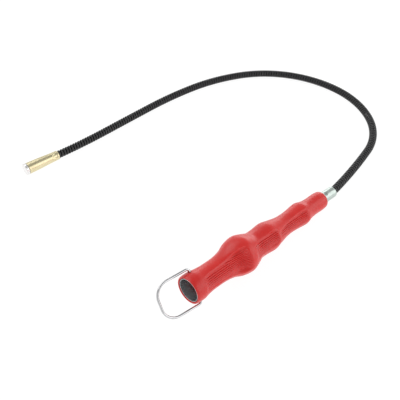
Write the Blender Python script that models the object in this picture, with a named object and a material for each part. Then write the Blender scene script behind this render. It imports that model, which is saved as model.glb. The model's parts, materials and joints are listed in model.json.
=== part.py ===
"""Flexible magnetic pick-up tool: a moulded grip with a hang loop, a self-holding gooseneck and a magnet.

Blender 4.5. Units are metres, +Z is up, and the tool lies on z = 0 as it lies on a bench: on the fattest
part of its grip, on the grip's nose, along its neck and on its magnet. The origin is the middle of its
footprint.

The gooseneck is cut into stretches that hinge on each other, because a rigid solid can't bend along its
length. Each stretch has an outer coil and an inner coil. The inner coil ends in a ball on the hinge's centre.
"""

import math

import bmesh
import bpy
import numpy as np
from mathutils import Matrix, Vector

MM = 0.001

# ---- grip, measured along its axis from the rear end ---------------------------------------------
GRIP_LENGTH = 120 * MM
# distance from the rear end and outer diameter: mouth, waist, first bulge, second bulge, third bulge, nose
GRIP_STATIONS_MM = (
    (0, 16.9), (1, 17.6), (5, 18.0), (10, 16.5), (16, 15.6), (21, 15.6), (26, 16.2), (31.5, 18.3),
    (37, 22.4), (43, 24.2), (48.5, 21.3), (53, 18.0), (57, 17.7), (65.5, 18.8), (72, 16.4), (78.5, 14.0),
    (84, 13.4), (90.5, 14.1), (97.5, 15.3), (103, 13.0), (107.5, 12.2), (118, 11.9), (119.4, 11.2), (120, 10),
)
GRIP_RINGS = 34
GRIP_SIDES = 28
BULGE_AT = 43 * MM
BULGE_R = 12.1 * MM
NOSE_AT = 117.5 * MM
NOSE_R = 5.95 * MM
MOUTH_R = 7.85 * MM
MOUTH_CHAMFER = 0.5 * MM
LINER_SEAT_R = 7.55 * MM
LINER_SEAT_END = 9.8 * MM
HOLLOW_R = 5.2 * MM
HOLLOW_END = 70 * MM
NOSE_BORE_R = 4.05 * MM
NOSE_BORE_START = 94 * MM

# ---- steel liner in the grip's rear mouth, a pressed cup whose floor is open -----------------------
LINER_START = 0.4 * MM
LINER_END = 9.5 * MM
LINER_R = 7.3 * MM
LINER_BORE_R = 6.95 * MM
LINER_FLOOR_START = 9.2 * MM
LINER_FLOOR_R = 5.4 * MM

# ---- wire hang loop ------------------------------------------------------------------------------
BAIL_AT = 5.4 * MM
BAIL_WIRE_R = 0.8 * MM
BAIL_HALF_WIDTH = 11.1 * MM
BAIL_REACH = 23.1 * MM
BAIL_CORNER_R = 8.5 * MM
BAIL_SHOULDER_R = 1.8 * MM
BAIL_END = 5.9 * MM
BAIL_HOLE_R = 1.15 * MM
# the pivot's upper end leans this far to the left, and the loop is swung this far off the grip's axis
PIVOT_LEAN = math.radians(34)
BAIL_SWING = math.radians(9.6)

# ---- ferrule that holds the neck in the nose -----------------------------------------------------
FERRULE_R = 3.8 * MM
FERRULE_BORE_R = 3.05 * MM
FERRULE_START = 94.3 * MM
FERRULE_EDGE = 0.3 * MM
FERRULE_END = 131.7 * MM
NECK_START = 97 * MM

# ---- gooseneck, measured from a point on the grip's axis just inside the ferrule's mouth ----------
NECK_ORIGIN = 130 * MM
NECK_LENGTH = 394 * MM
NECK_PIECES = 9
COIL_R = 2.8 * MM
COIL_BORE_R = 2.05 * MM
CORE_R = 1.75 * MM
CORE_BORE_R = 0.7 * MM
BALL_END_R = 1.1 * MM
COIL_GAP = 1.9 * MM
CORE_GAP = 2.3 * MM
COIL_SIDES = 14
CORE_SIDES = 8
# the bends it is kept in, as (length of the stretch in mm, degrees that it turns to the left)
NECK_BENDS = (
    (6, 8.5), (50, 4.5), (42, 42.5), (42, 36.5), (42, 29.5), (42, 30.5), (42, 18.5), (42, 9), (42, 1.5),
    (44, -5.5),
)
RISE_LENGTH = 90 * MM
RISE_RAMP = 40 * MM

# ---- tip, measured from the end of the visible neck ----------------------------------------------
BARREL_LENGTH = 23.7 * MM
BARREL_R = 4.05 * MM
BARREL_TAPER_MM = ((0, 3.25), (6, 3.4), (11, 3.7), (17, 3.95))
BARREL_BORE_R = 3.0 * MM
BARREL_BORE_DEPTH = 9.5 * MM
BARREL_EDGE = 0.4 * MM
SOCKET_R = 3.0 * MM
SOCKET_DEPTH = 6.5 * MM
MAGNET_GAP = 0.3 * MM
MAGNET_HEAD = 2.0 * MM
MAGNET_HEAD_R = 4.2 * MM
MAGNET_STEM = 6.0 * MM
MAGNET_STEM_R = 2.7 * MM
MAGNET_EDGE = 0.25 * MM

STEP = 1 * MM
NECK_RING_SPACING = 8 * MM
TURNED_SIDES = 24
SHARP_ANGLE = math.radians(35)

# the grip lies on its first bulge and on its nose, which tips it by this much
DIP = math.asin((BULGE_R - NOSE_R) / (NOSE_AT - BULGE_AT))
REAR_HEIGHT = BULGE_R * math.cos(DIP) + BULGE_AT * math.sin(DIP)


# ---- helpers -------------------------------------------------------------------------------------


def clear_scene():
    for obj in list(bpy.data.objects):
        bpy.data.objects.remove(obj)


def material(name, colour, metallic, roughness):
    made = bpy.data.materials.new(name)
    made.use_nodes = True
    shader = made.node_tree.nodes["Principled BSDF"]
    shader.inputs["Base Color"].default_value = (*colour, 1.0)
    shader.inputs["Metallic"].default_value = metallic
    shader.inputs["Roughness"].default_value = roughness
    made.diffuse_color = (*colour, 1.0)
    return made


def object_from(bm, name, look):
    bmesh.ops.recalc_face_normals(bm, faces=bm.faces)
    mesh = bpy.data.meshes.new(name)
    bm.to_mesh(mesh)
    bm.free()
    mesh.shade_smooth()
    mesh.set_sharp_from_angle(angle=SHARP_ANGLE)
    mesh.materials.append(look)
    obj = bpy.data.objects.new(name, mesh)
    bpy.context.scene.collection.objects.link(obj)
    return obj


def empty(name, place):
    made = bpy.data.objects.new(name, None)
    made.matrix_world = place
    bpy.context.scene.collection.objects.link(made)
    return made


def attach(child, parent):
    """Parents child where it stands, so that it follows when the parent is moved or turned."""
    bpy.context.view_layer.update()
    child.parent = parent
    child.matrix_parent_inverse = parent.matrix_world.inverted()


def turned(name, outline, sides, look):
    """A solid turned about +X from (x, radius) points, closed or with both ends on the axis."""
    bm = bmesh.new()
    points = [bm.verts.new((x, 0, radius)) for x, radius in outline]
    pairs = list(zip(points, points[1:]))
    if min(radius for x, radius in outline) > 0:
        pairs.append((points[-1], points[0]))
    edges = [bm.edges.new(pair) for pair in pairs]
    bmesh.ops.spin(
        bm, geom=points + edges, cent=(0, 0, 0), axis=(1, 0, 0), angle=math.tau, steps=sides, use_merge=True
    )
    bmesh.ops.remove_doubles(bm, verts=bm.verts, dist=1e-6)
    return object_from(bm, name, look)


def smooth_through(stations, count):
    """Points on a smooth curve through the stations, with the mean slope of its neighbours at each."""
    at, value = np.array(stations, float).T
    steps = np.diff(value) / np.diff(at)
    slope = np.concatenate([steps[:1], (steps[1:] + steps[:-1]) / 2, steps[-1:]])
    slope[1:-1][steps[1:] * steps[:-1] <= 0] = 0
    wanted = np.linspace(at[0], at[-1], count)
    piece = np.clip(np.searchsorted(at, wanted, side="right") - 1, 0, len(at) - 2)
    width = at[piece + 1] - at[piece]
    t = (wanted - at[piece]) / width
    start = value[piece] * (1 + 2 * t) * (1 - t) ** 2 + slope[piece] * width * t * (1 - t) ** 2
    end = value[piece + 1] * t**2 * (3 - 2 * t) + slope[piece + 1] * width * t**2 * (t - 1)
    return list(zip(wanted, start + end))


# ---- the neck's centreline -----------------------------------------------------------------------


def on_handle(distance):
    """A point on the grip's axis, that far from its rear end."""
    return Vector((distance * math.cos(DIP), 0, REAR_HEIGHT - distance * math.sin(DIP)))


MOUTH = on_handle(NECK_ORIGIN)
# the neck leaves the ferrule still dipping, and lies flat once it has come down to its own radius
SETTLE_LENGTH = 2 * (MOUTH.z - COIL_R) / math.sin(DIP)
RISE_PITCH = (MAGNET_HEAD_R - COIL_R) / (RISE_LENGTH - RISE_RAMP / 2 + BARREL_LENGTH + MAGNET_HEAD / 2)


def pitch_at(distance):
    """How steeply the neck climbs: down to the bench after the ferrule, and a little up to the tip."""
    if distance < SETTLE_LENGTH:
        return -DIP * (1 - distance / SETTLE_LENGTH)
    risen = (distance - (NECK_LENGTH - RISE_LENGTH)) / RISE_RAMP
    return RISE_PITCH * min(max(risen, 0), 1)


def heading_at(distance):
    turned_by = 0.0
    for length, turn in NECK_BENDS:
        share = min(max(distance / (length * MM), 0), 1)
        turned_by += math.radians(turn) * share
        distance -= length * MM
    return turned_by


def direction_at(distance):
    heading = heading_at(distance)
    pitch = pitch_at(max(distance, 0))
    level = Vector((math.cos(heading), math.sin(heading), 0))
    return math.cos(pitch) * level + Vector((0, 0, math.sin(pitch)))


def walk_neck():
    """Points along the neck, one for each STEP from the ferrule's mouth to the end of the neck."""
    count = round(NECK_LENGTH / STEP)
    points = [MOUTH.copy()]
    for i in range(count):
        points.append(points[-1] + STEP * direction_at((i + 0.5) * STEP))
    return points


NECK_POINTS = walk_neck()


def neck_point(distance):
    """A point on the neck's centreline. It goes straight on before the mouth and past the end."""
    if distance <= 0:
        return MOUTH + direction_at(0) * distance
    if distance >= NECK_LENGTH:
        return NECK_POINTS[-1] + direction_at(NECK_LENGTH) * (distance - NECK_LENGTH)
    i = min(int(distance / STEP), len(NECK_POINTS) - 2)
    return NECK_POINTS[i].lerp(NECK_POINTS[i + 1], distance / STEP - i)


def neck_place(distance):
    """The frame on the centreline: X along the neck, Y to its left, Z up."""
    along = direction_at(min(max(distance, 0), NECK_LENGTH))
    left = Vector((0, 0, 1)).cross(along).normalized()
    up = along.cross(left)
    place = Matrix((along, left, up)).transposed().to_4x4()
    place.translation = neck_point(distance)
    return place


# where the stretches hinge: counted from the grip, T turns the neck sideways and L lifts it
HINGE_KINDS = "TLTTLTLT"
HINGES = [NECK_LENGTH * (i + 1) / NECK_PIECES for i in range(NECK_PIECES - 1)]


def swept(name, rings, bore, sides, look):
    """A tube along the neck from (distance, outer radius) rings, with one bore radius all through."""
    bm = bmesh.new()
    loops = []
    for distance, outer in rings:
        place = neck_place(distance)
        for radius in (outer, bore):
            loop = []
            for k in range(sides):
                angle = math.tau * k / sides
                point = Vector((0, radius * math.sin(angle), radius * math.cos(angle)))
                loop.append(bm.verts.new(place @ point))
            loops.append(loop)
    skins = list(zip(loops[0::2], loops[2::2])) + list(zip(loops[1::2], loops[3::2]))
    skins += [(loops[0], loops[1]), (loops[-2], loops[-1])]
    for one, other in skins:
        for k in range(sides):
            after = (k + 1) % sides
            bm.faces.new((one[k], one[after], other[after], other[k]))
    return object_from(bm, name, look)


# ---- the pieces ----------------------------------------------------------------------------------


def make_grip(look):
    outer = [(x * MM, dia / 2 * MM) for x, dia in smooth_through(GRIP_STATIONS_MM, GRIP_RINGS)]
    rear_bore = [
        (HOLLOW_END, 0), (HOLLOW_END, HOLLOW_R), (LINER_SEAT_END, HOLLOW_R),
        (LINER_SEAT_END, LINER_SEAT_R), (MOUTH_CHAMFER, LINER_SEAT_R), (0, MOUTH_R),
    ]
    nose_bore = [(GRIP_LENGTH, NOSE_BORE_R), (NOSE_BORE_START, NOSE_BORE_R), (NOSE_BORE_START, 0)]
    return turned("grip", rear_bore + outer + nose_bore, GRIP_SIDES, look)


def make_liner(look):
    outline = [
        (LINER_START, LINER_R), (LINER_END, LINER_R), (LINER_END, LINER_FLOOR_R),
        (LINER_FLOOR_START, LINER_FLOOR_R), (LINER_FLOOR_START, LINER_BORE_R), (LINER_START, LINER_BORE_R),
    ]
    return turned("mouth_liner", outline, TURNED_SIDES, look)


def make_ferrule(look):
    end = FERRULE_END
    outline = [
        (FERRULE_START, FERRULE_R), (end - FERRULE_EDGE, FERRULE_R), (end, FERRULE_R - FERRULE_EDGE),
        (end, FERRULE_BORE_R), (FERRULE_START, FERRULE_BORE_R),
    ]
    return turned("ferrule", outline, TURNED_SIDES, look)


def cut_bail_holes(pieces, axis_place):
    """Drills the two cross holes through each piece, along the grip's own Z."""
    bm = bmesh.new()
    bmesh.ops.create_cone(
        bm, cap_ends=True, segments=12, radius1=BAIL_HOLE_R, radius2=BAIL_HOLE_R, depth=2 * BAIL_HALF_WIDTH
    )
    drill = object_from(bm, "bail_hole_drill", pieces[0].data.materials[0])
    drill.matrix_world = axis_place @ Matrix.Translation((BAIL_AT, 0, 0))
    drill.hide_render = True
    drill.display_type = "WIRE"
    for piece in pieces:
        cut = piece.modifiers.new("bail_holes", "BOOLEAN")
        cut.operation = "DIFFERENCE"
        cut.solver = "EXACT"
        cut.object = drill
    return drill


def arc(centre, radius, start, end, count):
    """Points round a centre, from one angle to another in degrees."""
    angles = [math.radians(start + (end - start) * i / count) for i in range(count + 1)]
    return [(centre[0] + radius * math.cos(a), centre[1] + radius * math.sin(a)) for a in angles]


def bail_outline():
    """Half of the wire's centreline as (out from the pivot, across the grip), from its end in the bore."""
    shoulder = (BAIL_SHOULDER_R, BAIL_HALF_WIDTH - BAIL_SHOULDER_R)
    corner = (BAIL_REACH - BAIL_CORNER_R, BAIL_HALF_WIDTH - BAIL_CORNER_R)
    half = [(0, BAIL_END)]
    half += arc(shoulder, BAIL_SHOULDER_R, 180, 90, 4)
    half += arc(corner, BAIL_CORNER_R, 90, 0, 8)
    return half


def make_bail(look):
    """A bent wire. Its own Z is the pivot's axis and its own -X points out of the loop's far end."""
    half = bail_outline()
    route = half + [(out, -across) for out, across in reversed(half)]
    curve = bpy.data.curves.new("bail", "CURVE")
    curve.dimensions = "3D"
    curve.bevel_depth = BAIL_WIRE_R
    curve.bevel_resolution = 2
    curve.use_fill_caps = True
    spline = curve.splines.new("POLY")
    spline.points.add(len(route) - 1)
    for point, (out, across) in zip(spline.points, route):
        point.co = (-out, 0, across, 1)
    curve.materials.append(look)
    bail = bpy.data.objects.new("bail", curve)
    bpy.context.scene.collection.objects.link(bail)
    return bail


def neck_rings(start, end, radius):
    """Rings of one radius, evenly spaced."""
    count = max(2, round((end - start) / NECK_RING_SPACING))
    return [(start + (end - start) * i / count, radius) for i in range(count + 1)]


def make_neck_piece(number, coil_look, core_look):
    """One stretch of the outer coil, and the inner coil in it."""
    start = HINGES[number - 2] if number > 1 else NECK_START - NECK_ORIGIN
    end = HINGES[number - 1] if number < NECK_PIECES else NECK_LENGTH + BARREL_BORE_DEPTH - MAGNET_GAP
    first, last = number == 1, number == NECK_PIECES
    coil_start = start if first else start + COIL_GAP / 2
    coil_end = end if last else end - COIL_GAP / 2
    coil = swept(
        f"neck_coil_{number}", neck_rings(coil_start, coil_end, COIL_R), COIL_BORE_R, COIL_SIDES, coil_look
    )
    core_start = start if first else start + CORE_GAP
    rings = neck_rings(core_start, end, CORE_R)
    if not last:
        ball_length = math.sqrt(CORE_R**2 - BALL_END_R**2)
        for share in (0.6, 1.0):
            past = ball_length * share
            rings.append((end + past, math.sqrt(CORE_R**2 - past**2)))
    core = swept(f"neck_core_{number}", rings, CORE_BORE_R, CORE_SIDES, core_look)
    return coil, core


def make_barrel(look):
    socket_end = BARREL_LENGTH - SOCKET_DEPTH
    outline = [
        *((x * MM, radius * MM) for x, radius in BARREL_TAPER_MM),
        (BARREL_LENGTH - BARREL_EDGE, BARREL_R), (BARREL_LENGTH, BARREL_R - BARREL_EDGE),
        (BARREL_LENGTH, SOCKET_R), (socket_end, SOCKET_R), (socket_end, CORE_R),
        (BARREL_BORE_DEPTH, CORE_R), (BARREL_BORE_DEPTH, BARREL_BORE_R), (0, BARREL_BORE_R),
    ]
    return turned("tip_barrel", outline, TURNED_SIDES, look)


def make_magnet(look):
    seat = BARREL_LENGTH + MAGNET_GAP
    face = seat + MAGNET_HEAD
    outline = [
        (seat - MAGNET_STEM, 0), (seat - MAGNET_STEM, MAGNET_STEM_R), (seat, MAGNET_STEM_R),
        (seat, MAGNET_HEAD_R), (face - MAGNET_EDGE, MAGNET_HEAD_R),
        (face, MAGNET_HEAD_R - MAGNET_EDGE), (face, 0),
    ]
    return turned("magnet", outline, TURNED_SIDES, look)


def centre_on_footprint(root):
    """Moves the whole tool so that the middle of its footprint is the origin."""
    bpy.context.view_layer.update()
    graph = bpy.context.evaluated_depsgraph_get()
    corners = []
    for obj in root.children_recursive:
        if obj.type == "EMPTY" or obj.hide_render:
            continue
        evaluated = obj.evaluated_get(graph)
        mesh = evaluated.to_mesh()
        points = np.array([evaluated.matrix_world @ vertex.co for vertex in mesh.vertices])
        corners += [points.min(axis=0), points.max(axis=0)]
        evaluated.to_mesh_clear()
    low = np.min(corners, axis=0)
    high = np.max(corners, axis=0)
    root.location = (-(low[0] + high[0]) / 2, -(low[1] + high[1]) / 2, -low[2])


def build():
    clear_scene()
    red = material("grip_plastic", (0.62, 0.03, 0.03), 0.0, 0.35)
    steel = material("liner_steel", (0.35, 0.35, 0.36), 1.0, 0.4)
    chrome = material("bail_chrome", (0.75, 0.75, 0.76), 1.0, 0.12)
    nickel = material("ferrule_nickel", (0.72, 0.73, 0.70), 1.0, 0.25)
    black = material("coil_black", (0.03, 0.03, 0.035), 0.6, 0.45)
    spring = material("core_steel", (0.40, 0.40, 0.42), 1.0, 0.35)
    brass = material("barrel_brass", (0.80, 0.62, 0.28), 1.0, 0.25)
    magnetic = material("magnet_nickel", (0.80, 0.79, 0.77), 1.0, 0.2)

    root = empty("tool", Matrix.Identity(4))
    turn = Matrix.Rotation(DIP, 4, "Y") @ Matrix.Rotation(-PIVOT_LEAN, 4, "X")
    handle_place = Matrix.Translation(on_handle(0)) @ turn
    handle = empty("handle_axis", handle_place)
    attach(handle, root)

    grip = make_grip(red)
    liner = make_liner(steel)
    ferrule = make_ferrule(nickel)
    for piece in (grip, liner, ferrule):
        piece.matrix_world = handle_place
        attach(piece, handle)
    attach(cut_bail_holes([grip, liner], handle_place), handle)

    pivot = Matrix.Translation((BAIL_AT, 0, 0)) @ Matrix.Rotation(-BAIL_SWING, 4, "Z")
    bail = make_bail(chrome)
    bail.matrix_world = handle_place @ pivot
    attach(bail, handle)

    carrier = handle
    for number in range(1, NECK_PIECES + 1):
        if number > 1:
            hinge = empty(f"neck_hinge_{number - 1}", neck_place(HINGES[number - 2]))
            attach(hinge, carrier)
            carrier = hinge
        for piece in make_neck_piece(number, black, spring):
            attach(piece, carrier)
    for piece in (make_barrel(brass), make_magnet(magnetic)):
        piece.matrix_world = neck_place(NECK_LENGTH)
        attach(piece, carrier)

    centre_on_footprint(root)


build()
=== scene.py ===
"""The looks of the flexible magnetic pick-up tool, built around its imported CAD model.

The CAD model gives the places, bodies and joints. This script repeats the design's driving sizes and
the neck's bends, and makes the surfaces that the plain solids leave out: the sunk, ribbed panels of the
grip, the two wires that the gooseneck is wound from, the crimp marks and the punch marks. Units are
metres, and +Z is up.
"""

import json
import math

import bmesh
import bpy
import numpy as np
from mathutils import Matrix, Vector


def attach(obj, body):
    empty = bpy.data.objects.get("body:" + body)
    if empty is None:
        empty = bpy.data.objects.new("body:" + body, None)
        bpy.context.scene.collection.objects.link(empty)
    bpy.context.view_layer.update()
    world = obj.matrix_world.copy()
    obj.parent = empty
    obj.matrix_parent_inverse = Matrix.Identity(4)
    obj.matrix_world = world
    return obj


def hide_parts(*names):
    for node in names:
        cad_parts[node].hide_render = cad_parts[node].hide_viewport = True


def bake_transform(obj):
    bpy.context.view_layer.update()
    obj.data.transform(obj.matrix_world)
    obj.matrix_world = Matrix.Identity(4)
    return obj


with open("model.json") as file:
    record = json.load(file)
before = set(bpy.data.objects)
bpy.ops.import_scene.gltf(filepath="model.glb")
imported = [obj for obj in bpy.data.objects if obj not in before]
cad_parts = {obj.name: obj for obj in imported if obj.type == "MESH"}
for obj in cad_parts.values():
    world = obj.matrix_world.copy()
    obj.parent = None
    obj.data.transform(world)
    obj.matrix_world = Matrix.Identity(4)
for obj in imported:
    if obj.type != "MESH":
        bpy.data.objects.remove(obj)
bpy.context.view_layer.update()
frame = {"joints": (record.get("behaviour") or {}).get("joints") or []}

MM = 0.001

# ---- the design's own sizes, as the CAD model has them -------------------------------------------
GRIP_LENGTH = 120 * MM
GRIP_STATIONS_MM = (
    (0, 16.9), (1, 17.6), (5, 18.0), (10, 16.5), (16, 15.6), (21, 15.6), (26, 16.2), (31.5, 18.3),
    (37, 22.4), (43, 24.2), (48.5, 21.3), (53, 18.0), (57, 17.7), (65.5, 18.8), (72, 16.4), (78.5, 14.0),
    (84, 13.4), (90.5, 14.1), (97.5, 15.3), (103, 13.0), (107.5, 12.2), (118, 11.9), (119.4, 11.2),
    (120, 10),
)
BULGE_AT = 43 * MM
BULGE_R = 12.1 * MM
NOSE_AT = 117.5 * MM
NOSE_R = 5.95 * MM
LINER_SEAT_R = 7.55 * MM
LINER_SEAT_END = 9.8 * MM
HOLLOW_R = 5.2 * MM
HOLLOW_END = 70 * MM
NOSE_BORE_R = 4.05 * MM
NOSE_BORE_START = 94 * MM

LINER_START = 0.4 * MM
LINER_END = 9.5 * MM
LINER_R = 7.3 * MM
LINER_BORE_R = 6.95 * MM
LINER_FLOOR_START = 9.2 * MM
LINER_FLOOR_R = 5.4 * MM

BAIL_AT = 5.4 * MM
BAIL_WIRE_R = 0.8 * MM
BAIL_HALF_WIDTH = 11.1 * MM
BAIL_REACH = 23.1 * MM
BAIL_CORNER_R = 8.5 * MM
BAIL_SHOULDER_R = 1.8 * MM
BAIL_END = 5.9 * MM
BAIL_HOLE_R = 1.15 * MM
PIVOT_LEAN = math.radians(34)
BAIL_SWING = math.radians(9.6)

FERRULE_R = 3.8 * MM
FERRULE_BORE_R = 3.05 * MM
FERRULE_START = 94.3 * MM
FERRULE_END = 131.7 * MM
NECK_START = 97 * MM

NECK_ORIGIN = 130 * MM
NECK_LENGTH = 394 * MM
NECK_PIECES = 9
COIL_R = 2.8 * MM
NECK_BENDS = (
    (6, 8.5), (50, 4.5), (42, 42.5), (42, 36.5), (42, 29.5), (42, 30.5), (42, 18.5), (42, 9), (42, 1.5),
    (44, -5.5),
)
RISE_LENGTH = 90 * MM
RISE_RAMP = 40 * MM

BARREL_LENGTH = 23.7 * MM
BARREL_R = 4.05 * MM
BARREL_TAPER_MM = ((0, 3.25), (6, 3.4), (11, 3.7), (17, 3.95))
BARREL_BORE_R = 3.0 * MM
BARREL_BORE_DEPTH = 9.5 * MM
SOCKET_R = 3.0 * MM
SOCKET_DEPTH = 6.5 * MM
CORE_R = 1.75 * MM
MAGNET_GAP = 0.3 * MM
MAGNET_HEAD = 2.0 * MM
MAGNET_HEAD_R = 4.2 * MM
MAGNET_STEM = 6.0 * MM
MAGNET_STEM_R = 2.7 * MM

STEP = 1 * MM
DIP = math.asin((BULGE_R - NOSE_R) / (NOSE_AT - BULGE_AT))
REAR_HEIGHT = BULGE_R * math.cos(DIP) + BULGE_AT * math.sin(DIP)

# ---- surface detail, in mm where a value has no unit of its own ----------------------------------
# the sunk panels, one on each side of each bulge, by stations: (along the grip, half width, depth)
PANELS = (
    ((6.5, 4.2, 0), (10.5, 4.7, 0.4), (28, 5.8, 0.8), (35.5, 7.6, 2.5), (37, 7.8, 2.4), (41.5, 7.4, 0)),
    ((45.5, 4.2, 0), (49, 4.6, 0.55), (58, 4.6, 0.7), (64.5, 5.0, 1.2), (68.8, 4.6, 0)),
    ((68.8, 2.3, 0), (72.5, 2.6, 0.45), (84, 3.4, 0.5), (93.5, 4.1, 0.95), (98.6, 4.0, 0)),
)
PANEL_WALL = 0.9
RIB_PITCH = 1.25
RIB_HEIGHT = 0.4
# the ribs fade in between these distances from a panel's edge, and over this much of its depth
RIB_FADE = (0.8, 1.4)
RIB_FADE_DEPTH = 0.5

# how closely the grip's surface is divided: sideways across the panels, round the rest, and along it
RIB_SAMPLE = 0.125
PANEL_CORE = 4.5
PANEL_EDGE = 8.6
PANEL_EDGE_SHARE = 0.86
PLAIN_COLUMNS = 22
BORE_COLUMNS_R = 8.5
RING_SPACING = 0.5
LAST_RING = 118.8
NOSE_RINGS = (118.9, 7)

# the rounded lip of the mouth, as (distance in, how much wider than the liner's seat)
LIP_ROUND = 0.35
MOUTH_LIP = ((0.7, 0), (0.4, 0.05), (0.15, 0.17), (0.03, 0.33))
NOSE_CHAMFER = 0.3

# the wire loop's ends: how much of the wire's width is left at the tip, and how far the rounding reaches
BAIL_WIRE_SIDES = 20
WIRE_END_SHARE = 0.75
WIRE_END_ROUND = 0.12 * MM

# crimp marks on the ferrule and punch marks on the barrel, round and pressed in
CRIMP_MARKS_AT = 2.4 * MM
CRIMP_MARK_SIZE = 1.5 * MM
CRIMP_MARK_DEPTH = 0.32 * MM
CRIMP_SKIN = 0.4 * MM
PUNCH_MARKS_AT = 3.0 * MM
PUNCH_MARK_TURNS = (math.radians(-50), math.radians(130))
PUNCH_MARK_SIZE = 2.1 * MM
PUNCH_MARK_DEPTH = 0.42 * MM
PUNCH_SKIN = 0.05 * MM
MARK_FLAT_SHARE = 0.6
TURNED_SIDES = 120

COIL_PITCH = 2.1 * MM
WEDGE_SECTION_MM = (
    (-0.26, 2.02), (-0.64, 2.32), (-0.7, 2.46), (-0.64, 2.61), (-0.47, 2.73), (-0.24, 2.785), (0.0, 2.8),
    (0.24, 2.785), (0.47, 2.73), (0.64, 2.61), (0.7, 2.46), (0.64, 2.32), (0.26, 2.02),
)
ROUND_WIRE_AT = 1.7 * MM
ROUND_WIRE_R = 0.64 * MM
ROUND_WIRE_SIDES = 10
WEDGE_STEPS_PER_TURN = 28
ROUND_STEPS_PER_TURN = 20
WIRE_JOIN_GAP = 0.01 * MM

# ---- camera, from the point on the floor below the grip's rear end -------------------------------
CAMERA_AT = (-0.14262, -0.15955, 0.29795)
CAMERA_HEADING = math.radians(46.41)
CAMERA_PITCH = math.radians(-44.68)
CAMERA_LENS_MM = 56.88
CAMERA_SENSOR_MM = 36

# ---- light ---------------------------------------------------------------------------------------
# how bright the surroundings are, by the sine of the angle above the horizon: sides light, ceiling dim
SKY_SHADES = ((0.1, 0.72), (1.0, 0.36), (0.55, 0.62), (0.8, 0.42))
# name, heading and height in degrees, size in metres, and how bright its face is
SOFTBOXES = (
    ("left_softbox", 115, 50, (1.5, 1.0), 1.45),
    ("right_softbox", -55, 27, (1.5, 1.0), 1.1),
    ("back_strip", 30, 7, (1.2, 0.5), 2.0),
)
SOFTBOX_DISTANCE = 1.2
FLOOR_HALF = 2.5
FLOOR_DROP = 0.3 * MM
FLOOR_GLOW = 0.93


# ---- the neck's centreline, by the design's own rule ---------------------------------------------


def on_handle(distance):
    """A point on the grip's axis, before the model was centred on its footprint."""
    return Vector((distance * math.cos(DIP), 0, REAR_HEIGHT - distance * math.sin(DIP)))


bail_joint = next(joint for joint in frame["joints"] if joint["name"] == "bail_swing")
ORIGIN = Vector(bail_joint["pos_m"]) - on_handle(BAIL_AT)
MOUTH = on_handle(NECK_ORIGIN)
SETTLE_LENGTH = 2 * (MOUTH.z - COIL_R) / math.sin(DIP)
RISE_PITCH = (MAGNET_HEAD_R - COIL_R) / (RISE_LENGTH - RISE_RAMP / 2 + BARREL_LENGTH + MAGNET_HEAD / 2)
HINGES = [NECK_LENGTH * (i + 1) / NECK_PIECES for i in range(NECK_PIECES - 1)]


def pitch_at(distance):
    if distance < SETTLE_LENGTH:
        return -DIP * (1 - distance / SETTLE_LENGTH)
    risen = (distance - (NECK_LENGTH - RISE_LENGTH)) / RISE_RAMP
    return RISE_PITCH * min(max(risen, 0), 1)


def heading_at(distance):
    turned_by = 0.0
    for length, turn in NECK_BENDS:
        share = min(max(distance / (length * MM), 0), 1)
        turned_by += math.radians(turn) * share
        distance -= length * MM
    return turned_by


def direction_at(distance):
    heading = heading_at(distance)
    pitch = pitch_at(max(distance, 0))
    level = Vector((math.cos(heading), math.sin(heading), 0))
    return math.cos(pitch) * level + Vector((0, 0, math.sin(pitch)))


def walk_neck():
    points = [ORIGIN + MOUTH]
    for i in range(round(NECK_LENGTH / STEP)):
        points.append(points[-1] + STEP * direction_at((i + 0.5) * STEP))
    return points


NECK_POINTS = walk_neck()


def neck_point(distance):
    if distance <= 0:
        return NECK_POINTS[0] + direction_at(0) * distance
    if distance >= NECK_LENGTH:
        return NECK_POINTS[-1] + direction_at(NECK_LENGTH) * (distance - NECK_LENGTH)
    i = min(int(distance / STEP), len(NECK_POINTS) - 2)
    return NECK_POINTS[i].lerp(NECK_POINTS[i + 1], distance / STEP - i)


def neck_place(distance):
    """The frame on the centreline: X along the neck, Y to its left, Z up."""
    along = direction_at(min(max(distance, 0), NECK_LENGTH))
    left = Vector((0, 0, 1)).cross(along).normalized()
    up = along.cross(left)
    place = Matrix((along, left, up)).transposed().to_4x4()
    place.translation = neck_point(distance)
    return place


# the grip's own frame: X along its axis, Z along the pivot of the wire loop
HANDLE = (
    Matrix.Translation(ORIGIN + on_handle(0))
    @ Matrix.Rotation(DIP, 4, "Y")
    @ Matrix.Rotation(-PIVOT_LEAN, 4, "X")
)


# ---- mesh helpers --------------------------------------------------------------------------------


def smooth_through(stations, wanted):
    """Heights at the wanted places on a smooth curve through the stations."""
    at, value = np.array(stations, float).T
    steps = np.diff(value) / np.diff(at)
    slope = np.concatenate([steps[:1], (steps[1:] + steps[:-1]) / 2, steps[-1:]])
    slope[1:-1][steps[1:] * steps[:-1] <= 0] = 0
    piece = np.clip(np.searchsorted(at, wanted, side="right") - 1, 0, len(at) - 2)
    width = at[piece + 1] - at[piece]
    t = (wanted - at[piece]) / width
    start = value[piece] * (1 + 2 * t) * (1 - t) ** 2 + slope[piece] * width * t * (1 - t) ** 2
    end = value[piece + 1] * t**2 * (3 - 2 * t) + slope[piece + 1] * width * t**2 * (t - 1)
    return start + end


def smoothstep(low, high, value):
    t = np.clip((value - low) / (high - low), 0, 1)
    return t * t * (3 - 2 * t)


def finished(mesh, name, place, look, sharp=35):
    """The object of a mesh, with outward faces, smooth shading and its material."""
    bm = bmesh.new()
    bm.from_mesh(mesh)
    bmesh.ops.recalc_face_normals(bm, faces=bm.faces)
    bm.to_mesh(mesh)
    bm.free()
    mesh.transform(place)
    mesh.shade_smooth()
    mesh.set_sharp_from_angle(angle=math.radians(sharp))
    mesh.materials.clear()
    mesh.materials.append(look)
    obj = bpy.data.objects.new(name, mesh)
    bpy.context.scene.collection.objects.link(obj)
    return obj


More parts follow.
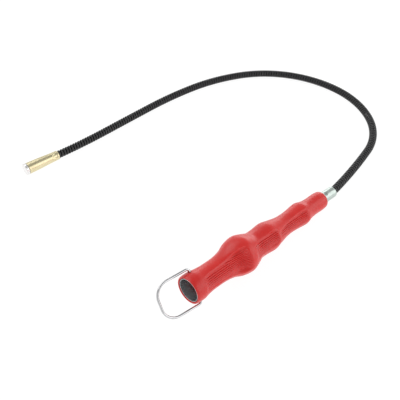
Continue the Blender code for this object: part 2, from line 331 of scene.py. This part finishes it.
def skin(name, rings, look, place=None, sharp=35):
    """A closed body through rings of points. A ring of one point or a flat face closes each end."""
    points = []
    faces = []
    starts = []
    for ring in rings:
        starts.append(len(points))
        points.extend(tuple(point) for point in ring)
    for i in range(len(rings) - 1):
        one, other = starts[i], starts[i + 1]
        size, next_size = len(rings[i]), len(rings[i + 1])
        count = max(size, next_size)
        for k in range(count):
            after = (k + 1) % count
            if size == 1:
                faces.append((one, other + k, other + after))
            elif next_size == 1:
                faces.append((one + k, other, one + after))
            else:
                faces.append((one + k, other + k, other + after, one + after))
    for start, ring in ((starts[0], rings[0]), (starts[-1], rings[-1])):
        if len(ring) > 1:
            faces.append(tuple(range(start, start + len(ring))))
    mesh = bpy.data.meshes.new(name)
    mesh.from_pydata(points, [], faces)
    return finished(mesh, name, place or Matrix.Identity(4), look, sharp)


def rounded(corners, steps=4):
    """An outline of (x, radius) points, from corners (x, radius, size of the rounding)."""
    outline = []
    for i, (x, radius, rounding) in enumerate(corners):
        here = Vector((x, radius))
        if rounding == 0:
            outline.append(here)
            continue
        before = (Vector(corners[i - 1][:2]) - here).normalized() * rounding
        after = (Vector(corners[(i + 1) % len(corners)][:2]) - here).normalized() * rounding
        for k in range(steps + 1):
            t = k / steps
            outline.append(here + before * (1 - t) ** 2 + after * t**2)
    return outline


def refined(outline, spacing, above):
    """The same outline, with points no further apart than the spacing where its radius is above that."""
    out = []
    for one, other in zip(outline, outline[1:]):
        outside = min(one.y, other.y) > above
        count = math.ceil((other - one).length / spacing) if outside else 1
        out.extend(one.lerp(other, k / count) for k in range(max(1, count)))
    return out + [outline[-1]]


def turned(name, outline, sides, place, look, shape=None):
    """A body turned about X. shape(x, angles) gives how far each point is pressed in."""
    angles = np.arange(sides) * math.tau / sides
    closed = outline[0].y > 0
    if closed:
        outline = outline + outline[:1]
    rings = []
    for x, radius in outline:
        if radius == 0:
            rings.append([(x, 0, 0)])
            continue
        depth = shape(x, angles, radius) if shape else np.zeros(sides)
        reach = radius - depth
        rings.append(np.stack([np.full(sides, x), -reach * np.sin(angles), reach * np.cos(angles)], 1))
    if not closed:
        return skin(name, rings, look, place)
    return ring_skin(name, rings[:-1], look, place)


def ring_skin(name, rings, look, place):
    """A closed body like a ring: the last ring joins the first."""
    sides = len(rings[0])
    points = np.concatenate([np.asarray(ring, float) for ring in rings])
    faces = []
    for i in range(len(rings)):
        one, other = i * sides, (i + 1) % len(rings) * sides
        for k in range(sides):
            after = (k + 1) % sides
            faces.append((one + k, other + k, other + after, one + after))
    mesh = bpy.data.meshes.new(name)
    mesh.from_pydata([tuple(point) for point in points], [], faces)
    return finished(mesh, name, place, look)


def drilled(obj, look):
    """The piece with the two cross holes for the wire loop cut through it."""
    bm = bmesh.new()
    bmesh.ops.create_cone(
        bm, cap_ends=True, segments=40, radius1=BAIL_HOLE_R, radius2=BAIL_HOLE_R, depth=2 * BAIL_HALF_WIDTH
    )
    mesh = bpy.data.meshes.new("drill")
    bm.to_mesh(mesh)
    bm.free()
    drill = bpy.data.objects.new("drill", mesh)
    bpy.context.scene.collection.objects.link(drill)
    drill.matrix_world = HANDLE @ Matrix.Translation((BAIL_AT, 0, 0))
    cut = obj.modifiers.new("holes", "BOOLEAN")
    cut.operation = "DIFFERENCE"
    cut.solver = "EXACT"
    cut.object = drill
    bpy.context.view_layer.update()
    graph = bpy.context.evaluated_depsgraph_get()
    result = bpy.data.meshes.new_from_object(obj.evaluated_get(graph))
    obj.modifiers.clear()
    obj.data = result
    bpy.data.objects.remove(drill)
    obj.data.materials.clear()
    obj.data.materials.append(look)
    obj.data.shade_smooth()
    obj.data.set_sharp_from_angle(angle=math.radians(35))
    return obj


# ---- materials -----------------------------------------------------------------------------------


class Look:
    """A Principled material with short ways to add noise, ramps and bump to it."""

    def __init__(self, name, colour, metallic, roughness):
        self.material = bpy.data.materials.new(name)
        self.material.use_nodes = True
        self.nodes = self.material.node_tree.nodes
        self.links = self.material.node_tree.links
        self.shader = self.nodes["Principled BSDF"]
        self.shader.inputs["Base Color"].default_value = (*colour, 1)
        self.shader.inputs["Metallic"].default_value = metallic
        self.shader.inputs["Roughness"].default_value = roughness
        self.material.diffuse_color = (*colour, 1)
        self.coordinates = self.nodes.new("ShaderNodeTexCoord").outputs["Object"]
        self.height = None

    def noise(self, scale, detail=3, stretch=(1, 1, 1)):
        mapping = self.nodes.new("ShaderNodeMapping")
        mapping.inputs["Scale"].default_value = stretch
        self.links.new(self.coordinates, mapping.inputs["Vector"])
        noise = self.nodes.new("ShaderNodeTexNoise")
        noise.inputs["Scale"].default_value = scale
        noise.inputs["Detail"].default_value = detail
        self.links.new(mapping.outputs["Vector"], noise.inputs["Vector"])
        return noise.outputs["Fac"]

    def ramp(self, value, stops):
        """Colours or grey levels at places from 0 to 1."""
        ramp = self.nodes.new("ShaderNodeValToRGB")
        elements = ramp.color_ramp.elements
        for i, (at, colour) in enumerate(stops):
            element = elements[i] if i < 2 else elements.new(at)
            element.position = at
            element.color = (*colour, 1) if isinstance(colour, tuple) else (colour, colour, colour, 1)
        self.links.new(value, ramp.inputs["Fac"])
        return ramp.outputs["Color"]

    def put(self, value, socket):
        if isinstance(value, bpy.types.NodeSocket):
            self.links.new(value, socket)
        elif isinstance(value, tuple):
            socket.default_value = (*value, 1)
        else:
            socket.default_value = value

    def colour(self, socket):
        self.links.new(socket, self.shader.inputs["Base Color"])

    def rough(self, socket):
        self.links.new(socket, self.shader.inputs["Roughness"])

    def bump(self, height, strength, distance):
        """Adds a bump on top of those already there."""
        bump = self.nodes.new("ShaderNodeBump")
        bump.inputs["Strength"].default_value = strength
        bump.inputs["Distance"].default_value = distance
        self.links.new(height, bump.inputs["Height"])
        if self.height is not None:
            self.links.new(self.height, bump.inputs["Normal"])
        self.height = bump.outputs["Normal"]
        self.links.new(self.height, self.shader.inputs["Normal"])


def mix_colours(look, share, one, other):
    """A colour between two others, by a grey socket."""
    mix = look.nodes.new("ShaderNodeMix")
    mix.data_type = "RGBA"
    colour_in = [socket for socket in mix.inputs if socket.type == "RGBA"]
    look.put(share, mix.inputs[0])
    look.put(one, colour_in[0])
    look.put(other, colour_in[1])
    return next(out for out in mix.outputs if out.type == "RGBA")


def edges_of(look, low, high):
    """0 in the hollows and on flat ground, 1 on sharp edges."""
    geometry = look.nodes.new("ShaderNodeNewGeometry")
    return look.ramp(geometry.outputs["Pointiness"], ((low, 0.0), (high, 1.0)))


def red_plastic():
    look = Look("red_grip_plastic", (0.66, 0.02, 0.016), 0.0, 0.34)
    look.shader.inputs["IOR"].default_value = 1.5
    look.shader.inputs["Specular IOR Level"].default_value = 0.5
    clouds = look.ramp(look.noise(55, 4), ((0.3, (0.61, 0.015, 0.013)), (0.7, (0.69, 0.024, 0.020))))
    # painted shade: where pointiness is low, in the creases, at the foot of the panel walls and in the rib
    # grooves, the red is darkened to (0.38, 0.008, 0.007)
    shade = mix_colours(look, edges_of(look, 0.40, 0.48), (0.38, 0.008, 0.007), clouds)
    # painted highlight, partly also wear: where pointiness is high, on the rib crests and convex edges, the
    # red is lightened to (0.68, 0.04, 0.034)
    look.colour(mix_colours(look, edges_of(look, 0.56, 0.66), shade, (0.68, 0.04, 0.034)))
    look.rough(look.ramp(look.noise(420, 5), ((0.25, 0.26), (0.75, 0.40))))
    look.bump(look.noise(1500, 3), 0.03, 0.00008)
    look.bump(look.noise(180, 2), 0.08, 0.0002)
    return look.material


def liner_steel():
    look = Look("mouth_liner_steel", (0.42, 0.44, 0.46), 1.0, 0.38)
    look.colour(look.ramp(look.noise(160, 4), ((0.3, (0.42, 0.45, 0.46)), (0.7, (0.54, 0.57, 0.58)))))
    look.rough(look.ramp(look.noise(500, 4), ((0.3, 0.34), (0.7, 0.48))))
    look.bump(look.noise(260, 3, (1, 8, 8)), 0.2, 0.00008)
    return look.material


def bright_wire():
    look = Look("bail_bright_wire", (0.60, 0.60, 0.61), 1.0, 0.2)
    look.colour(look.ramp(look.noise(220, 4), ((0.3, (0.52, 0.52, 0.53)), (0.7, (0.66, 0.66, 0.67)))))
    look.rough(look.ramp(look.noise(700, 4), ((0.3, 0.06), (0.75, 0.16))))
    look.bump(look.noise(900, 2), 0.1, 0.00006)
    return look.material


def ferrule_plate():
    look = Look("ferrule_plate", (0.66, 0.72, 0.68), 1.0, 0.18)
    look.colour(look.ramp(look.noise(240, 4), ((0.3, (0.46, 0.52, 0.49)), (0.7, (0.56, 0.63, 0.59)))))
    look.rough(look.ramp(look.noise(900, 4), ((0.3, 0.26), (0.75, 0.40))))
    look.bump(look.noise(1200, 2), 0.1, 0.00006)
    return look.material


def black_wire():
    look = Look("neck_black_wire", (0.02, 0.02, 0.022), 0.0, 0.36)
    look.shader.inputs["IOR"].default_value = 1.5
    look.shader.inputs["Specular IOR Level"].default_value = 0.5
    shade = look.ramp(look.noise(300, 5), ((0.3, (0.006, 0.006, 0.007)), (0.75, (0.020, 0.020, 0.022))))
    # painted highlight, partly also wear: the coil crowns, where pointiness is high, are lightened to bring
    # out the light stripes
    crest_wear_and_highlight = edges_of(look, 0.52, 0.62)
    look.colour(mix_colours(look, crest_wear_and_highlight, shade, (0.045, 0.045, 0.047)))
    look.rough(look.ramp(look.noise(1100, 4), ((0.3, 0.38), (0.75, 0.54))))
    look.bump(look.noise(2200, 3), 0.06, 0.00005)
    return look.material


def spring_steel():
    # painted shade: the inner wire is kept near black and almost without reflection, to stand for the shade
    # in the grooves between the coils
    look = Look("neck_inner_wire", (0.005, 0.005, 0.006), 0.0, 0.6)
    look.shader.inputs["Specular IOR Level"].default_value = 0.02
    look.colour(look.ramp(look.noise(420, 4), ((0.3, (0.002, 0.002, 0.002)), (0.75, (0.006, 0.006, 0.006)))))
    look.rough(look.ramp(look.noise(900, 3), ((0.3, 0.5), (0.75, 0.7))))
    return look.material


def pale_brass():
    look = Look("tip_pale_brass", (0.82, 0.72, 0.47), 1.0, 0.32)
    look.colour(look.ramp(look.noise(190, 4), ((0.3, (0.72, 0.64, 0.40)), (0.7, (0.80, 0.72, 0.47)))))
    look.rough(look.ramp(look.noise(800, 4), ((0.3, 0.26), (0.75, 0.40))))
    look.bump(look.noise(900, 2), 0.05, 0.00005)
    return look.material


def magnet_plate():
    look = Look("magnet_plate", (0.86, 0.85, 0.84), 1.0, 0.34)
    look.colour(look.ramp(look.noise(260, 4), ((0.3, (0.82, 0.81, 0.80)), (0.7, (0.92, 0.91, 0.90)))))
    look.rough(look.ramp(look.noise(700, 4), ((0.3, 0.28), (0.75, 0.42))))
    look.bump(look.noise(900, 2), 0.1, 0.00005)
    return look.material


# ---- the grip ------------------------------------------------------------------------------------


def grip_columns(radius):
    """Angles round the grip. Across the two panels they keep a fixed sideways spacing, to carry the ribs."""
    core = np.arange(-PANEL_CORE, PANEL_CORE + RIB_SAMPLE / 2, RIB_SAMPLE)
    edge = min(PANEL_EDGE, PANEL_EDGE_SHARE * radius)
    margin = np.linspace(PANEL_CORE, edge, round((PANEL_EDGE - PANEL_CORE) / RIB_SAMPLE) + 1)[1:]
    sideways = np.concatenate([-margin[::-1], core, margin])
    across = np.arcsin(sideways / radius)
    plain = np.linspace(across[-1], math.pi - across[-1], PLAIN_COLUMNS + 2)[1:-1]
    half = np.concatenate([across, plain])
    return math.pi / 2 + np.concatenate([half, half + math.pi])


def panel_depth(x, sideways, facing):
    """How far the surface is sunk in mm at x along the grip: the panels and the ribs on their floors."""
    depth = np.zeros_like(sideways)
    for stations in PANELS:
        if not stations[0][0] < x < stations[-1][0]:
            continue
        half_width = smooth_through([(at, wide) for at, wide, deep in stations], x)
        floor = smooth_through([(at, deep) for at, wide, deep in stations], x)
        inside = half_width - np.abs(sideways)
        wall = smoothstep(0, PANEL_WALL, inside)
        rib = RIB_HEIGHT * (1 - np.abs(np.cos(math.pi * sideways / RIB_PITCH)))
        ribs = rib * smoothstep(*RIB_FADE, inside) * smoothstep(0, RIB_FADE_DEPTH, floor)
        depth += facing * (wall * floor + ribs)
    return depth


def grip_ring(x, radius, panels=True):
    angles = grip_columns(radius)
    sideways = -radius * np.cos(angles)
    facing = (np.abs(sideways) < PANEL_EDGE_SHARE * radius + 0.01).astype(float)
    reach = radius - (panel_depth(x, sideways, facing) if panels else 0)
    return np.stack([np.full(len(angles), x), -reach * np.sin(angles), reach * np.cos(angles)], 1) * MM


def make_grip(look):
    """The grip's body, from the end of its hollow out round the mouth and along to the nose's bore."""
    length = GRIP_LENGTH / MM
    lip = LIP_ROUND * (1 - np.cos(np.linspace(0, math.pi / 2, 6)))
    middle = np.arange(LIP_ROUND + RING_SPACING, LAST_RING, RING_SPACING)
    nose_start, nose_count = NOSE_RINGS
    xs = np.concatenate([lip, middle, np.linspace(nose_start, length, nose_count)])
    radii = smooth_through(GRIP_STATIONS_MM, xs) / 2
    radii -= LIP_ROUND - np.sqrt(LIP_ROUND**2 - np.clip(LIP_ROUND - xs, 0, None) ** 2)
    seat, seat_end = LINER_SEAT_R / MM, LINER_SEAT_END / MM
    hollow, bore = HOLLOW_R / MM, NOSE_BORE_R / MM
    rear = [(HOLLOW_END / MM, hollow), (seat_end, hollow), (seat_end, seat)]
    rear += [(x, seat + wider) for x, wider in MOUTH_LIP]
    nose = [(length, bore + NOSE_CHAMFER), (length - NOSE_CHAMFER, bore), (NOSE_BORE_START / MM, bore)]
    mouth_angles = grip_columns(BORE_COLUMNS_R)

    def bore_ring(x, radius):
        sine, cosine = np.sin(mouth_angles), np.cos(mouth_angles)
        return np.stack([np.full(len(mouth_angles), x), -radius * sine, radius * cosine], 1) * MM

    rings = [[(HOLLOW_END, 0, 0)]]
    rings += [bore_ring(x, radius) for x, radius in rear]
    rings += [grip_ring(x, radius) for x, radius in zip(xs, radii)]
    rings += [bore_ring(x, radius) for x, radius in nose]
    rings += [[(NOSE_BORE_START, 0, 0)]]
    return drilled(skin("grip_body", rings, look, HANDLE), look)


def make_liner(look):
    corners = [
        (LINER_START, LINER_R, 0.12 * MM), (LINER_END, LINER_R, 0.08 * MM),
        (LINER_END, LINER_FLOOR_R, 0.08 * MM), (LINER_FLOOR_START, LINER_FLOOR_R, 0.08 * MM),
        (LINER_FLOOR_START, LINER_BORE_R, 0.5 * MM),
        (LINER_START, LINER_BORE_R, 0.12 * MM),
    ]
    return drilled(turned("mouth_sleeve", rounded(corners), 96, HANDLE, look), look)


# ---- wire loop -----------------------------------------------------------------------------------


def arc(centre, radius, start, end, count):
    angles = [math.radians(start + (end - start) * i / count) for i in range(count + 1)]
    return [(centre[0] + radius * math.cos(a), centre[1] + radius * math.sin(a)) for a in angles]


def make_bail(look):
    shoulder = (BAIL_SHOULDER_R, BAIL_HALF_WIDTH - BAIL_SHOULDER_R)
    corner = (BAIL_REACH - BAIL_CORNER_R, BAIL_HALF_WIDTH - BAIL_CORNER_R)
    half = [(0, BAIL_END)]
    half += arc(shoulder, BAIL_SHOULDER_R, 180, 90, 10)
    half += arc(corner, BAIL_CORNER_R, 90, 0, 24)
    route = half + [(out, -across) for out, across in reversed(half)]
    points = [Vector((-out, 0, across)) for out, across in route]
    rings = []
    for i, point in enumerate(points):
        along = (points[min(i + 1, len(points) - 1)] - points[max(i - 1, 0)]).normalized()
        side = Vector((0, 1, 0))
        other = along.cross(side)
        ring = []
        for k in range(BAIL_WIRE_SIDES):
            angle = math.tau * k / BAIL_WIRE_SIDES
            ring.append(point + BAIL_WIRE_R * (math.cos(angle) * side + math.sin(angle) * other))
        rings.append(ring)
    rings = [eased_end(rings[0], rings[1])] + rings + [eased_end(rings[-1], rings[-2])]
    place = HANDLE @ Matrix.Translation((BAIL_AT, 0, 0)) @ Matrix.Rotation(-BAIL_SWING, 4, "Z")
    return skin("wire_loop", rings, look, place)


def eased_end(ring, inner):
    """A smaller ring just past a wire's end, which rounds its edge."""
    middle = sum(ring, Vector()) / len(ring)
    inward = (sum(inner, Vector()) / len(inner) - middle).normalized()
    return [middle + (point - middle) * WIRE_END_SHARE - inward * WIRE_END_ROUND for point in ring]


# ---- ferrule, barrel and magnet ------------------------------------------------------------------


def dents(centres, size, depth, outside):
    """Round dents pressed into a turned body at (x, angle) centres, where its radius is outside that."""

    def shape(x, angles, radius):
        pressed = np.zeros_like(angles)
        for at, angle in centres if radius > outside else ():
            around = (angles - angle + math.pi) % math.tau - math.pi
            distance = np.hypot(x - at, around * radius)
            edge = smoothstep(MARK_FLAT_SHARE * size, size, distance)
            pressed = np.maximum(pressed, depth * (1 - edge))
        return pressed

    return shape


def make_ferrule(look):
    end = FERRULE_END
    corners = [
        (FERRULE_START, FERRULE_R, 0.2 * MM), (end, FERRULE_R, 0.35 * MM),
        (end, FERRULE_BORE_R, 0.15 * MM), (FERRULE_START, FERRULE_BORE_R, 0.15 * MM),
    ]
    outside = FERRULE_R - CRIMP_SKIN
    marks = [(GRIP_LENGTH + CRIMP_MARKS_AT, math.radians(45 + 90 * k)) for k in range(4)]
    shape = dents(marks, CRIMP_MARK_SIZE, CRIMP_MARK_DEPTH, outside)
    outline = refined(rounded(corners), 0.35 * MM, outside)
    return turned("ferrule_sleeve", outline, TURNED_SIDES, HANDLE, look, shape)


def make_barrel(look):
    end = BARREL_LENGTH
    socket = end - SOCKET_DEPTH
    corners = [
        *((x * MM, radius * MM, 1.5 * MM if x else 0.15 * MM) for x, radius in BARREL_TAPER_MM),
        (end, BARREL_R, 0.3 * MM),
        (end, SOCKET_R, 0), (socket, SOCKET_R, 0), (socket, CORE_R, 0),
        (BARREL_BORE_DEPTH, CORE_R, 0), (BARREL_BORE_DEPTH, BARREL_BORE_R, 0), (0, BARREL_BORE_R, 0),
    ]
    outside = BARREL_BORE_R + PUNCH_SKIN
    marks = [(PUNCH_MARKS_AT, angle) for angle in PUNCH_MARK_TURNS]
    shape = dents(marks, PUNCH_MARK_SIZE, PUNCH_MARK_DEPTH, outside)
    outline = refined(rounded(corners), 0.25 * MM, outside)
    return turned("tip_sleeve", outline, TURNED_SIDES, neck_place(NECK_LENGTH), look, shape)


def make_magnet(look):
    seat = BARREL_LENGTH + MAGNET_GAP
    face = seat + MAGNET_HEAD
    corners = [
        (seat - MAGNET_STEM, 0, 0), (seat - MAGNET_STEM, MAGNET_STEM_R, 0.2 * MM),
        (seat, MAGNET_STEM_R, 0), (seat, MAGNET_HEAD_R, 0.12 * MM),
        (face, MAGNET_HEAD_R, 0.3 * MM), (face, 0, 0),
    ]
    return turned("magnet_disc", rounded(corners), TURNED_SIDES, neck_place(NECK_LENGTH), look)


# ---- the gooseneck's two wires -------------------------------------------------------------------


def wound(name, start, end, phase, section, steps, look):
    """A wire wound round the centreline. The section's points are (along the neck, radius)."""
    count = math.ceil((end - start) / COIL_PITCH * steps)
    rings = []
    for i in range(count + 1):
        distance = start + (end - start) * i / count
        angle = math.tau * distance / COIL_PITCH + phase
        place = neck_place(distance)
        out = Vector((0, math.sin(angle), math.cos(angle)))
        rings.append([place @ (Vector((along, 0, 0)) + radius * out) for along, radius in section])
    return skin(name, rings, look, sharp=50)


def neck_cuts():
    """Where one length of wire ends and the next begins: midway between neighbouring hinges."""
    cuts = [NECK_START - NECK_ORIGIN]
    cuts += [(one + other) / 2 for one, other in zip(HINGES, HINGES[1:])]
    return cuts + [NECK_LENGTH + BARREL_BORE_DEPTH - MAGNET_GAP]


def make_neck(outer_look, inner_look):
    """Eight lengths of each wire. Each is wound across one hinge and meets its neighbours on rigid ground.
    """
    wedge = [(along * MM, radius * MM) for along, radius in WEDGE_SECTION_MM]
    turns = [math.tau * k / ROUND_WIRE_SIDES for k in range(ROUND_WIRE_SIDES)]
    bead = [(ROUND_WIRE_R * math.cos(turn), ROUND_WIRE_AT + ROUND_WIRE_R * math.sin(turn)) for turn in turns]
    cuts = neck_cuts()
    for number, hinge in enumerate(HINGES, start=1):
        start, end = cuts[number - 1], cuts[number] - WIRE_JOIN_GAP
        place = neck_place(hinge)
        wires = (
            ("neck_outer_wire", "neck_coil", wedge, 0, WEDGE_STEPS_PER_TURN, outer_look, "coil_black"),
            ("neck_inner_wire", "neck_core", bead, math.pi, ROUND_STEPS_PER_TURN, inner_look, "core_steel"),
        )
        for name, node, section, phase, steps, look, slot in wires:
            wire = wound(f"{name}_{number}", start, end, phase, section, steps, look)
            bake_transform(wire)
            stands_for = [f"{node}_{number}"]
            if number == len(HINGES):
                stands_for.append(f"{node}_{number + 1}")
            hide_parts(*stands_for)


# ---- stage ---------------------------------------------------------------------------------------


def make_floor():
    mesh = bpy.data.meshes.new("floor")
    half = FLOOR_HALF
    corners = [(-half, -half), (half, -half), (half, half), (-half, half)]
    mesh.from_pydata([(x, y, -FLOOR_DROP) for x, y in corners], [], [(0, 1, 2, 3)])
    look = Look("pale_floor", (0.15, 0.15, 0.15), 0.0, 0.9)
    look.shader.inputs["Specular IOR Level"].default_value = 0.1
    look.shader.inputs["Emission Color"].default_value = (1, 1, 1, 1)
    look.shader.inputs["Emission Strength"].default_value = FLOOR_GLOW
    mesh.materials.append(look.material)
    floor = bpy.data.objects.new("floor", mesh)
    bpy.context.scene.collection.objects.link(floor)


def add_softbox(name, heading, height, size, glow):
    """A soft flat light that looks at the tool. glow is how bright its face is."""
    light = bpy.data.lights.new(name, "AREA")
    light.shape = "RECTANGLE"
    light.size, light.size_y = size
    light.energy = glow * math.pi * size[0] * size[1]
    lamp = bpy.data.objects.new(name, light)
    flat = math.cos(height)
    away = Vector((math.cos(heading) * flat, math.sin(heading) * flat, math.sin(height)))
    turn = away.to_track_quat("Z", "Y").to_matrix().to_4x4()
    lamp.matrix_world = Matrix.Translation(away * SOFTBOX_DISTANCE) @ turn
    bpy.context.scene.collection.objects.link(lamp)


def light_room():
    world = bpy.data.worlds.new("studio")
    world.use_nodes = True
    nodes = world.node_tree.nodes
    links = world.node_tree.links
    coordinates = nodes.new("ShaderNodeTexCoord")
    split = nodes.new("ShaderNodeSeparateXYZ")
    shade = nodes.new("ShaderNodeValToRGB")
    elements = shade.color_ramp.elements
    for i, (height, level) in enumerate(SKY_SHADES):
        element = elements[i] if i < 2 else elements.new(height)
        element.position = height
        element.color = (level, level, level, 1)
    links.new(coordinates.outputs["Generated"], split.inputs["Vector"])
    links.new(split.outputs["Z"], shade.inputs["Fac"])
    links.new(shade.outputs["Color"], nodes["Background"].inputs["Color"])
    bpy.context.scene.world = world
    for name, heading, height, size, glow in SOFTBOXES:
        add_softbox(name, math.radians(heading), math.radians(height), size, glow)


def place_camera():
    camera = bpy.data.cameras.new("camera")
    camera.sensor_width = CAMERA_SENSOR_MM
    camera.lens = CAMERA_LENS_MM
    viewer = bpy.data.objects.new("camera", camera)
    flat = math.cos(CAMERA_PITCH)
    look_along = Vector(
        (flat * math.cos(CAMERA_HEADING), flat * math.sin(CAMERA_HEADING), math.sin(CAMERA_PITCH))
    )
    turn = look_along.to_track_quat("-Z", "Y").to_matrix().to_4x4()
    viewer.matrix_world = Matrix.Translation(ORIGIN + Vector(CAMERA_AT)) @ turn
    bpy.context.scene.collection.objects.link(viewer)
    bpy.context.scene.camera = viewer


def dress(piece, body, node):
    """Puts a finished piece in a CAD node's place."""
    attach(piece, body)
    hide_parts(node)


def build():
    dress(make_grip(red_plastic()), "handle", "grip")
    dress(make_liner(liner_steel()), "handle", "mouth_liner")
    dress(make_bail(bright_wire()), "bail", "bail")
    dress(make_ferrule(ferrule_plate()), "handle", "ferrule")
    dress(make_barrel(pale_brass()), "neck_9", "tip_barrel")
    dress(make_magnet(magnet_plate()), "neck_9", "magnet")
    make_neck(black_wire(), spring_steel())
    make_floor()
    light_room()
    place_camera()
    bpy.context.scene.view_settings.view_transform = "Standard"


build()
